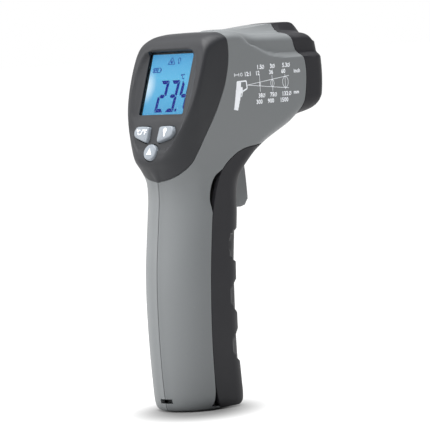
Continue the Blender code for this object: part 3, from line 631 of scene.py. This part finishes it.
def rounded_outline(outline, steps=4):
    """An outline with its corners eased."""
    outline = np.array(outline, float)
    made = []
    for i in range(len(outline)):
        before, here, after = outline[i - 1], outline[i], outline[(i + 1) % len(outline)]
        start, end = here + 0.3 * (before - here), here + 0.3 * (after - here)
        for t in np.linspace(0.0, 1.0, steps):
            made.append((1 - t) ** 2 * start + 2 * t * (1 - t) * here + t * t * end)
    return np.array(made)


def grown(outline, extra):
    """An outline widened by a distance along its own normals."""
    outline = np.array(outline, float)
    ahead = np.roll(outline, -1, axis=0) - np.roll(outline, 1, axis=0)
    ahead /= np.linalg.norm(ahead, axis=1)[:, None]
    outward = np.stack([ahead[:, 1], -ahead[:, 0]], axis=1)
    if ((outline - outline.mean(axis=0)) * outward).sum() < 0.0:
        outward = -outward
    return outline + extra * outward


def inside_depth(points, outline):
    """Signed distance of 2-D points from a closed outline, positive inside it."""
    outline = np.array(outline, float)
    nearest = np.full(len(points), 1e9)
    inside = np.zeros(len(points), bool)
    for a, b in zip(outline, np.roll(outline, -1, axis=0)):
        along = b - a
        t = np.clip(((points - a) @ along) / (along @ along), 0.0, 1.0)
        nearest = np.minimum(nearest, np.linalg.norm(points - (a + t[:, None] * along), axis=1))
        crosses = (a[1] > points[:, 1]) != (b[1] > points[:, 1])
        reach = a[0] + along[0] * (points[:, 1] - a[1]) / (along[1] if along[1] else 1e-9)
        inside ^= crosses & (points[:, 0] < reach)
    return np.where(inside, nearest, -nearest)


def face_field():
    """Outline of the shallow field inside the bezel's raised lip."""
    right = [(17.4, 146.6), (18.6, 141.0), (18.9, 134.0), (18.0, 126.0), (16.0, 118.5),
             (12.6, 112.8), (8.8, 109.2)]
    sine, cosine = math.sin(FACE_TILT), math.cos(FACE_TILT)
    outline = [(x, (z - FACE_RIM * sine) / cosine) for x, z in right]
    top = [(15.6, outline[0][1] + 3.6), (11.0, outline[0][1] + 5.2)]
    half = top[::-1] + outline
    return half + [(-x, up) for x, up in half[::-1]]


def pressed_face(points):
    """Sinks the bezel's face: a soft step inside the lip, then a slope down to the display."""
    x, y, z = points.T
    sine, cosine = math.sin(FACE_TILT), math.cos(FACE_TILT)
    up, out = y * sine + z * cosine, z * sine - y * cosine
    flat = np.stack([x, up], axis=1)
    facing = smooth(out, 69.5, 71.5)
    field = inside_depth(flat, face_field())
    dish = rounded_rectangle(LCD_HALF_WIDTH + 0.4, LCD_FROM - 0.4, LCD_TO + 0.4, 1.0)
    near = inside_depth(flat, dish)
    ridge = smooth(field, -1.6, -0.3) * smooth(-field, -0.3, 0.1)
    depth = 0.66 * smooth(field, -0.1, 1.3) - 0.14 * ridge + (
        0.85 * smooth(near, -3.6, 0.2) * smooth(field, 0.0, 2.0))
    depth = depth * facing
    return points + depth[:, None] * np.array([0.0, cosine, -sine])


def make_bezel():
    bezel = cut(form(0.0, FACE, 10, first=10.5, last=24.0, pressed=pressed_face), cavity())
    combine(bezel, bezel_region(0.0), "INTERSECT")
    cutters = [face_prism(rounded_rectangle(LCD_HALF_WIDTH, LCD_FROM, LCD_TO, 0.8), 68.6, 77.0)]
    for outline in (key_outline(1), key_outline(-1), up_key_outline()):
        cutters.append(face_prism(grown(rounded_outline(outline), 0.35), 68.6, 77.0))
    cut(bezel, merged(cutters))
    finished(bezel, "fine_display_bezel", CHARCOAL, "display_bezel", sharp=35.0)


def make_nose():
    nose = cut(form(0.0, FINE, 9, first=23.0), cavity())
    combine(nose, nose_region(0.0), "INTERSECT")
    cut(nose, rod("Y", (0.0, LENS_Z), (30.0, 50.0), 9.2, 64))
    cut(nose, rod("Y", (0.0, LENS_Z), (38.6, 43.4), 8.7, 64, end_radius=13.0))
    cut(nose, rod("Y", (0.0, LASER_Z), (30.0, 50.0), 2.6, 32))
    finished(nose, "fine_nose_ring", GRIP, "nose_ring")


def make_door():
    door = cut(form(0.0, FINE, 16, last=17.0), cavity())
    line = curved(DOOR_LINE)
    combine(door, region(line, [(30.0, DOOR_FOOT), (30.0, 109.2)]), "INTERSECT")
    slot = [(-20.0, 82.0), (20.0, 82.0), (20.0, 130.0), (-20.0, 130.0)]
    cut(door, merged([
        side_prism(slot, -SLOT_HALF_WIDTH, SLOT_HALF_WIDTH),
        box((-14.2, 14.2), (-30.0, -11.0), (-2.0, 9.0)),
    ]))
    lugs = []
    for x in (-9.6, 9.6):
        lug = [(-14.4, 3.9), (-13.6, 3.2), (-8.6, 3.2), (-8.6, 7.0), (-13.4, 7.0), (-14.4, 6.2)]
        lugs.append(side_prism(lug, x - 1.2, x + 1.2))
    join(door, merged(lugs))
    cut(door, rod("X", (HINGE_Y, HINGE_Z), (-13.0, 13.0), 1.35, 32))
    finished(door, "fine_battery_door", GRIP, "battery_door", "battery_door")


# ---------------------------------------------------------------- display and keys


def plates(name, outlines, out_from, out_to, material, body="body"):
    """Thin flat plates on the display face, as one piece."""
    made = merged([face_prism(outline, out_from, out_to) for outline in outlines])
    return finished(made, name, material, None, body)


def stroke(start, end, width):
    """A bar between two points."""
    start, end = np.array(start, float), np.array(end, float)
    along = (end - start) / np.linalg.norm(end - start)
    across = np.array([-along[1], along[0]]) * width / 2.0
    return [start + across, end + across, end - across, start - across]


def arc_strokes(centre, radius, start, end, width, count=8, squeeze=1.0):
    """A curved line made of short bars; angles in degrees."""
    angles = np.radians(np.linspace(start, end, count + 1))
    points = [
        (centre[0] + radius * squeeze * math.cos(a), centre[1] + radius * math.sin(a)) for a in angles
    ]
    return [stroke(a, b, width) for a, b in zip(points, points[1:])]


DIGIT_BARS = {"2": "abged", "3": "abgcd", "4": "fgbc"}


def digit(figure, left, base, wide, tall, thick, slant):
    """Outlines of the bars of one seven-bar figure, leaning to the right."""
    cell, half, ease = 0.14 * thick, tall / 2.0, 0.5 * thick
    bars = {
        "a": [(cell, tall), (wide - cell, tall), (wide - thick, tall - thick), (thick, tall - thick)],
        "d": [(cell, 0.0), (thick, thick), (wide - thick, thick), (wide - cell, 0.0)],
        "g": [(thick * 0.6, half), (thick * 1.1, half + ease), (wide - thick * 1.1, half + ease),
              (wide - thick * 0.6, half), (wide - thick * 1.1, half - ease),
              (thick * 1.1, half - ease)],
        "b": [(wide, tall - cell), (wide, half + cell), (wide - ease, half + cell),
              (wide - thick, half + ease + cell), (wide - thick, tall - thick - cell)],
        "c": [(wide, half - cell), (wide, cell), (wide - thick, thick + cell),
              (wide - thick, half - ease - cell), (wide - ease, half - cell)],
    }
    bars["f"] = [(wide - x, y) for x, y in bars["b"]]
    bars["e"] = [(wide - x, y) for x, y in bars["c"]]
    return [
        [(left + x + slant * y, base + y) for x, y in bars[bar]] for bar in DIGIT_BARS[figure]
    ]


def make_display():
    picture = [(-LCD_HALF_WIDTH - 0.3, LCD_FROM - 0.3), (LCD_HALF_WIDTH + 0.3, LCD_FROM - 0.3),
               (LCD_HALF_WIDTH + 0.3, LCD_TO + 0.3), (-LCD_HALF_WIDTH - 0.3, LCD_TO + 0.3)]
    plates("display_border", [picture], 70.6, 70.74, BLACK)
    picture = [(-13.05, LCD_FROM + 0.2), (13.5, LCD_FROM + 0.2), (13.5, 133.4), (-13.05, 133.4)]
    plates("display_picture", [picture], 70.75, 70.95, LIGHT)
    bars = []
    for figure, left in (("2", -5.9), ("3", 0.75), ("4", 7.6)):
        bars += digit(figure, left, 108.1, 5.3, 13.8, 1.6, 0.085)
    bars.append([(6.75, 108.3), (7.85, 108.3), (7.95, 109.5), (6.85, 109.5)])
    plates("display_figures", bars, 70.95, 70.98, NAVY)
    marks = []
    tip, low = (-0.5, 131.9), 129.0
    corners = [(-2.6, low), tip, (1.6, low)]
    marks += [stroke(a, b, 0.34) for a, b in zip(corners, corners[1:] + corners[:1])]
    marks.append([(-0.5 + 0.6 * a, 129.95 + 0.6 * b) for a, b in ring_points(1.0, 12)])
    marks += arc_strokes((4.1, 130.75), 0.85, -50, 230, 0.34)
    marks += [stroke((3.75, 129.9), (3.9, 129.0), 0.34), stroke((4.45, 129.9), (4.2, 129.0), 0.34)]
    frame = [(-11.2, 125.6), (-6.6, 125.6), (-6.6, 127.5), (-11.2, 127.5)]
    marks += [stroke(a, b, 0.3) for a, b in zip(frame, frame[1:] + frame[:1])]
    marks += [stroke((x, 125.9), (x + 0.12, 127.2), 0.6) for x in (-10.5, -9.5, -8.5)]
    marks += [stroke((-6.25, 126.1), (-6.15, 127.0), 0.4)]
    marks += arc_strokes((7.35, 124.1), 0.36, 0, 360, 0.3)
    marks += arc_strokes((8.75, 123.35), 1.0, 50, 310, 0.38, squeeze=0.8)
    plates("display_marks", marks, 70.95, 70.98, PALE_NAVY)
    window = rounded_rectangle(14.6, 105.9, 135.0, 0.8)
    made = face_prism(window, 71.15, 71.35)
    finished(made, "fine_display_window", WINDOW, "display_window")


def make_key(node_name, outline, marks):
    """A soft key with a rounded rim, a slightly domed top and a white mark on it."""
    outline = rounded_outline(outline) if len(outline) < 20 else np.array(outline)
    middle = outline.mean(axis=0)
    top, soft = FACE_RIM + 0.95, 0.55
    rings = [(0.0, 70.9), (0.0, top - soft - 0.4)]
    for t in np.linspace(0.0, 0.5 * math.pi, 6):
        rings.append((soft * (1.0 - math.cos(t)) + 0.12, top - soft + soft * math.sin(t) - 0.1))
    loops = [(grown(outline, -inset), out) for inset, out in rings]
    for share, rise in ((0.6, 0.06), (0.25, 0.1)):
        loops.append((middle + (loops[7][0] - middle) * share, top - 0.1 + rise))
    points = [face_point(x, up, out) for loop, out in loops for x, up in loop]
    count = len(outline)
    faces = [tuple(range(count))]
    for i in range(len(loops) - 1):
        for j in range(count):
            after = (j + 1) % count
            faces.append((i * count + j, i * count + after,
                          (i + 1) * count + after, (i + 1) * count + j))
    last = (len(loops) - 1) * count
    faces.append(tuple(range(last, last + count)))
    made = mesh_object(node_name, points, faces)
    finished(made, "fine_" + node_name, SILVER, node_name, node_name, 50.0)
    plates(node_name + "_mark", marks, top - 0.12, top + 0.03, WHITE, node_name)


def make_keys():
    unit = arc_strokes((-9.9, 99.5), 0.35, 0, 360, 0.3)
    unit += arc_strokes((-8.6, 98.6), 0.95, 50, 310, 0.42, squeeze=0.85)
    unit += [stroke((-7.5, 97.6), (-6.5, 99.8), 0.38)]
    unit += arc_strokes((-5.95, 99.5), 0.35, 0, 360, 0.3)
    unit += [stroke((-5.2, 97.6), (-5.2, 99.7), 0.42), stroke((-5.2, 99.5), (-3.9, 99.5), 0.42),
             stroke((-5.2, 98.6), (-4.2, 98.6), 0.42)]
    make_key("key_unit", key_outline(-1), unit)
    lamp = [[(7.4 + 1.0 * a, 99.2 + 1.15 * b) for a, b in ring_points(1.0, 20)],
            [(6.95, 98.2), (7.85, 98.2), (7.7, 96.6), (7.1, 96.6)]]
    make_key("key_light", key_outline(1), lamp)
    make_key("key_up", up_key_outline(), [[(-1.55, 88.9), (1.55, 88.9), (0.0, 91.6)]])


# ---------------------------------------------------------------- trigger


def make_trigger():
    blade = [(8.1, 85.4), (8.5, 87.2), (7.7, 100.0), (6.0, 106.0), (3.0, 110.4), (2.4, 115.2),
             (0.6, 116.8), (-2.6, 116.8), (-4.4, 115.2), (-4.8, 108.0), (-5.4, 100.0), (-5.4, 84.0),
             (-4.2, 82.7), (4.2, 82.7), (6.6, 83.3)]
    front = curved(blade[:6])[:-1]
    outline = [tuple(p) for p in front] + blade[5:]
    trigger = side_prism(outline, -TRIGGER_HALF_WIDTH, TRIGGER_HALF_WIDTH)
    edge = trigger.modifiers.new("edge", "BEVEL")
    edge.width, edge.segments, edge.limit_method = 0.0009, 4, "ANGLE"
    edge.angle_limit = math.radians(40.0)
    baked(trigger)
    pocket = [(-7.0, 86.0), (5.0, 86.0), (4.7, 99.0), (0.3, 104.0), (-7.0, 104.0)]
    cut(trigger, merged([side_prism(pocket, -TRIGGER_HALF_WIDTH + 1.6, -0.8),
                         side_prism(pocket, 0.8, TRIGGER_HALF_WIDTH - 1.6)]))
    for side in (-1.0, 1.0):
        x_range = sorted((side * 2.6, side * 6.0))
        cut(trigger, box(x_range, (-8.0, 6.0), (109.6, 120.0)))
    cut(trigger, rod("X", (PIVOT_Y, PIVOT_Z), (-8.0, 8.0), 1.5, 32))
    finished(trigger, "fine_trigger", GREY, "trigger", "trigger")


# ---------------------------------------------------------------- flank print


def number_outlines(text, height):
    """Flat mesh (points, triangles) of a short number in the plane, from the built-in font."""
    curve = bpy.data.curves.new("figures", "FONT")
    curve.body = text
    curve.size = height / 0.7
    curve.resolution_u = 3
    curve.space_character = 1.06
    curve.offset = 0.048 * height
    holder = bpy.data.objects.new("figures", curve)
    bpy.context.scene.collection.objects.link(holder)
    graph = bpy.context.evaluated_depsgraph_get()
    mesh = bpy.data.meshes.new_from_object(holder.evaluated_get(graph))
    points = np.array([vertex.co[:2] for vertex in mesh.vertices])
    faces = [tuple(face.vertices) for face in mesh.polygons]
    drop(holder)
    return points, faces


# Numbers of the diagram, row by row: height of the row, then each number and its middle
PRINT_ROWS = (
    (140.55, (("1.5", 5.4), ("3", 12.1), ("5.3", 20.1))),
    (138.05, (("12", 4.2), ("36", 12.0), ("60", 19.1))),
    (128.55, (("38", 5.1), ("75", 11.9), ("132", 19.6))),
    (125.95, (("300", 4.3), ("900", 11.0), ("1500", 18.9))),
)
PRINT_RINGS = (
    (7.4, 141.4), (13.6, 141.4), (22.4, 141.4), (7.1, 129.4), (13.9, 129.4), (22.3, 129.4),
)
PRINT_LIFT = 0.05  # how far the ink stands off the flank


def make_print(shell):
    """The measuring-spot diagram on the right flank, laid on the shell's own surface."""
    points, faces = [], []

    def add(outline):
        start = len(points)
        points.extend([tuple(p) for p in outline])
        faces.append(tuple(range(start, start + len(outline))))

    def line(a, b, width, pieces=1):
        a, b = np.array(a, float), np.array(b, float)
        for i in range(pieces):
            add(stroke(a + (b - a) * i / pieces, a + (b - a) * (i + 1) / pieces, width))

    def ellipse(centre, half_y, half_z, width):
        ring = [(centre[0] + half_y * a, centre[1] + half_z * b) for a, b in ring_points(1.0, 28)]
        for a, b in zip(ring, ring[1:] + ring[:1]):
            add(stroke(a, b, width))

    def number(text, middle, base, height=1.75):
        glyphs, triangles = number_outlines(text, height)
        wide = np.ptp(glyphs[:, 0])
        glyphs = (glyphs - (glyphs[:, 0].min(), glyphs[:, 1].min())) * (0.92, 1.0)
        start = len(points)
        points.extend([tuple(p) for p in glyphs + (middle - wide * 0.46, base)])
        faces.extend([tuple(start + i for i in face) for face in triangles])

    apex = (-2.4, 134.3)
    line(apex, (22.2, 136.95), 0.2, 10)
    line(apex, (21.9, 131.7), 0.2, 10)
    for y, top, low in ((5.1, 138.2, 131.1), (12.4, 137.7, 131.0), (19.9, 137.6, 131.2)):
        line((y, top), (y, low), 0.2, 3)
    ellipse((5.1, 134.2), 0.4, 0.75, 0.18)
    ellipse((12.4, 134.25), 1.0, 1.5, 0.2)
    ellipse((20.0, 134.35), 1.6, 2.35, 0.22)
    tool = [(-9.0, 132.2), (-8.3, 136.0), (-2.9, 136.1), (-2.6, 132.9), (-5.2, 131.9)]
    for a, b in zip(tool, tool[1:]):
        line(a, b, 0.6, 8)
    for share in np.linspace(0.0, 1.0, 6):
        rear = (-8.9 + 0.7 * share, 132.6 + 3.0 * share)
        front = (-6.4 + 0.4 * share, 133.0 + 2.8 * share)
        line(rear, front, 0.62, 6)
        rear, front = (-9.5 - share, 131.8 - 6.6 * share), (-6.2 - 1.9 * share, 131.6 - 6.9 * share)
        line(rear, front, 1.5, 8)
    for level in (131.6, 132.2, 132.8, 133.4):
        line((-9.0, level), (-5.3, level - 0.1), 0.7, 8)
    line((-5.5, 131.6), (-6.2, 129.6), 0.5, 4)
    for base, row in PRINT_ROWS:
        for text, middle in row:
            number(text, middle, base)
    for y, z in PRINT_RINGS:
        ellipse((y, z), 0.62, 0.72, 0.28)
        line((y - 0.7, z - 0.9), (y + 0.7, z + 0.9), 0.22)
    number("12:1", -1.7, 138.0)
    line((-9.6, 138.9), (-7.0, 138.9), 0.28)
    for y in (-9.6, -7.0):
        line((y, 138.2), (y, 139.6), 0.28)
    ellipse((-5.5, 138.9), 0.55, 0.65, 0.28)
    number("inch", 27.0, 137.9, 1.6)
    number("mm", 26.0, 129.0, 1.5)
    tree = BVHTree.FromPolygons([v.co for v in shell.data.vertices],
                                [tuple(p.vertices) for p in shell.data.polygons])
    placed = []
    for y, z in points:
        start = Vector((0.05, (y + CENTRING) * MM, z * MM))
        hit = tree.ray_cast(start, Vector((-1.0, 0.0, 0.0)))[0]
        placed.append((hit.x / MM + PRINT_LIFT, y, z))
    made = mesh_object("flank_print", placed, faces)
    finished(made, "flank_print", WHITE, None, sharp=60.0)
    for face in made.data.polygons:
        if face.normal.x < 0.0:
            face.flip()


# ---------------------------------------------------------------- carried-over pieces


def dress_nodes():
    """Materials for the CAD nodes that keep their own shape."""
    finishes = {
        "lcd_module": DISPLAY, "backlight_panel": MILKY, "zebra_connector": RUBBER,
        "main_board": BOARD, "keypad_mat": RUBBER, "beeper": BLACK, "lens_barrel": BLACK,
        "infrared_lens": OPTIC, "sensor_can": STEEL, "sensor_board": BOARD, "laser_module": BRASS,
        "laser_window": LASER_GLASS, "trigger_pivot_pin": STEEL, "trigger_spring": STEEL,
        "trigger_bracket": BLACK, "trigger_switch": BLACK, "door_hinge_pin": STEEL,
        "battery": CELL, "battery_snap": BLACK, "battery_lead_red": RED,
        "battery_lead_black": LEAD, "battery_tray": CHARCOAL, "battery_pad": FOAM,
        "case_screw_1": STEEL, "case_screw_2": STEEL, "case_screw_3": STEEL,
    }
    for name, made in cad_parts.items():
        if name in finishes:
            for place in made.material_slots:
                place.material = finishes[name]


# ---------------------------------------------------------------- stage, light, camera


FLOOR_RADIUS = 12.0
FLOOR, GLOW = 0.17, 0.95  # how much light the floor returns, and how much it gives
# Painted shadow on the floor: its glow fades to nothing in a soft stretched patch round the foot
SHADOW_PATCH_CENTRE, SHADOW_PATCH_TURN = (0.0088, -0.0318, 0.0), -42.5
SHADOW_PATCH_STRETCH, SHADOW_PATCH_FROM, SHADOW_PATCH_TO = 1.5, 0.008, 0.038


def make_stage():
    """A wide white floor, whose own material has a painted shadow: a soft dark patch round the foot.
    """
    ring = ring_points(FLOOR_RADIUS, 96)
    mesh = bpy.data.meshes.new("floor")
    mesh.from_pydata([(x, y, 0.0) for x, y in ring], [], [tuple(range(96))])
    floor = bpy.data.objects.new("floor", mesh)
    bpy.context.scene.collection.objects.link(floor)
    made, tree, shader = new_material("floor_paper_painted_shadow")
    place = node(tree, "ShaderNodeTexCoord").outputs["Object"]
    spread = node(tree, "ShaderNodeMapping", {"vector_type": "TEXTURE"}, Vector=place)
    spread.inputs["Location"].default_value = SHADOW_PATCH_CENTRE
    spread.inputs["Rotation"].default_value = (0.0, 0.0, math.radians(SHADOW_PATCH_TURN))
    spread.inputs["Scale"].default_value = (SHADOW_PATCH_STRETCH, 1.0, 1.0)
    reach = node(tree, "ShaderNodeVectorMath", {"operation": "LENGTH"}, i0=spread.outputs[0])
    # painted shadow: no glow near the foot, full glow further out
    level = mapped(tree, reach.outputs["Value"], SHADOW_PATCH_FROM, SHADOW_PATCH_TO, 0.0, GLOW, "SMOOTHSTEP")
    glow = node(tree, "ShaderNodeCombineColor", i0=level, i1=level, i2=level)
    tree.links.new(glow.outputs[0], shader.inputs["Emission Color"])
    shader.inputs["Emission Strength"].default_value = 1.0
    shader.inputs["Base Color"].default_value = (FLOOR, FLOOR, FLOOR, 1.0)
    shader.inputs["Roughness"].default_value = 0.95
    shader.inputs["Specular IOR Level"].default_value = 0.0
    mesh.materials.append(made)


def area_light(name, position, target, size, power):
    data = bpy.data.lights.new(name, "AREA")
    data.shape = "DISK"
    data.size = size
    data.energy = power
    made = bpy.data.objects.new(name, data)
    made.location = position
    made.rotation_euler = (Vector(target) - Vector(position)).to_track_quat("-Z", "Y").to_euler()
    bpy.context.scene.collection.objects.link(made)
    return made


ZENITH, KEY_STRENGTH, OVERHEAD_POWER = 0.3, 1.6, 36.0
KEY_WAY = (-0.62, -0.75, 0.24)
SHADE, SHADE_WAY = -0.75, (0.93, 0.3, 0.12)  # light taken away on the right


def make_light():
    """A white room, brighter on the left and darker on the right, with a broad lamp overhead."""
    world = bpy.data.worlds.new("studio")
    world.use_nodes = True
    tree = world.node_tree
    backdrop = tree.nodes["Background"]
    ways = node(tree, "ShaderNodeTexCoord").outputs["Generated"]
    height = node(tree, "ShaderNodeSeparateXYZ", Vector=ways).outputs["Z"]
    sky = mapped(tree, height, 0.06, 0.5, 1.0, ZENITH, "SMOOTHSTEP")
    side = node(tree, "ShaderNodeVectorMath", {"operation": "DOT_PRODUCT"}, i0=ways,
                i1=Vector(KEY_WAY).normalized())
    key = mapped(tree, side.outputs["Value"], 0.25, 1.0, 0.0, KEY_STRENGTH, "SMOOTHSTEP")
    both = node(tree, "ShaderNodeMath", {"operation": "ADD"}, i0=sky, i1=key)
    away = node(tree, "ShaderNodeVectorMath", {"operation": "DOT_PRODUCT"}, i0=ways,
                i1=Vector(SHADE_WAY).normalized())
    shade = mapped(tree, away.outputs["Value"], 0.3, 1.0, 0.0, SHADE, "SMOOTHSTEP")
    both = node(tree, "ShaderNodeMath", {"operation": "ADD"}, i0=both.outputs[0], i1=shade)
    tree.links.new(both.outputs[0], backdrop.inputs["Strength"])
    backdrop.inputs["Color"].default_value = (1.0, 1.0, 1.0, 1.0)
    bpy.context.scene.world = world
    area_light("overhead", (0.1, -0.1, 1.25), (0.0, 0.0, 0.0), 1.4, OVERHEAD_POWER)


CAMERA_TURN, CAMERA_PITCH = math.radians(47.5), math.radians(5.0)
CAMERA_AIM_Y, CAMERA_AIM_Z = -6.4, 0.080
CAMERA_DISTANCE, CAMERA_LENS = 1.441, 284.65


def make_camera():
    turn, pitch = CAMERA_TURN, CAMERA_PITCH
    level = math.cos(turn)
    back = Vector((math.sin(turn), -level * math.cos(pitch), level * math.sin(pitch)))
    upward = Vector((0.0, math.sin(pitch), math.cos(pitch)))
    back.normalize()
    across = upward.cross(back).normalized()
    upward = back.cross(across)
    data = bpy.data.cameras.new("camera")
    data.sensor_width = 36.0
    data.lens = CAMERA_LENS
    data.clip_start, data.clip_end = 0.05, 60.0
    data.dof.use_dof = False
    made = bpy.data.objects.new("camera", data)
    aim = Vector((0.0, (CENTRING + CAMERA_AIM_Y) * MM, CAMERA_AIM_Z))
    matrix = Matrix((across, upward, back)).transposed().to_4x4()
    matrix.translation = aim + back * CAMERA_DISTANCE
    made.matrix_world = matrix
    bpy.context.scene.collection.objects.link(made)
    bpy.context.scene.camera = made


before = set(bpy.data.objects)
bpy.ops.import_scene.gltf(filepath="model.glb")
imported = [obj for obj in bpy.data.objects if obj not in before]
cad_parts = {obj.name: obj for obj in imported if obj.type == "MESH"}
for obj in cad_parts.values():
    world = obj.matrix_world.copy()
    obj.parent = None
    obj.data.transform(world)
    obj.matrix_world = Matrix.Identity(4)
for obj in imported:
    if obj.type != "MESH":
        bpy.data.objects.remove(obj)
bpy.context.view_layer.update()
make_camera()
make_light()
make_stage()
make_shells()
make_bezel()
make_nose()
make_door()
make_display()
make_keys()
make_trigger()
make_print(bpy.data.objects["fine_shell_right"])
dress_nodes()
bpy.context.scene.view_settings.view_transform = "Standard"
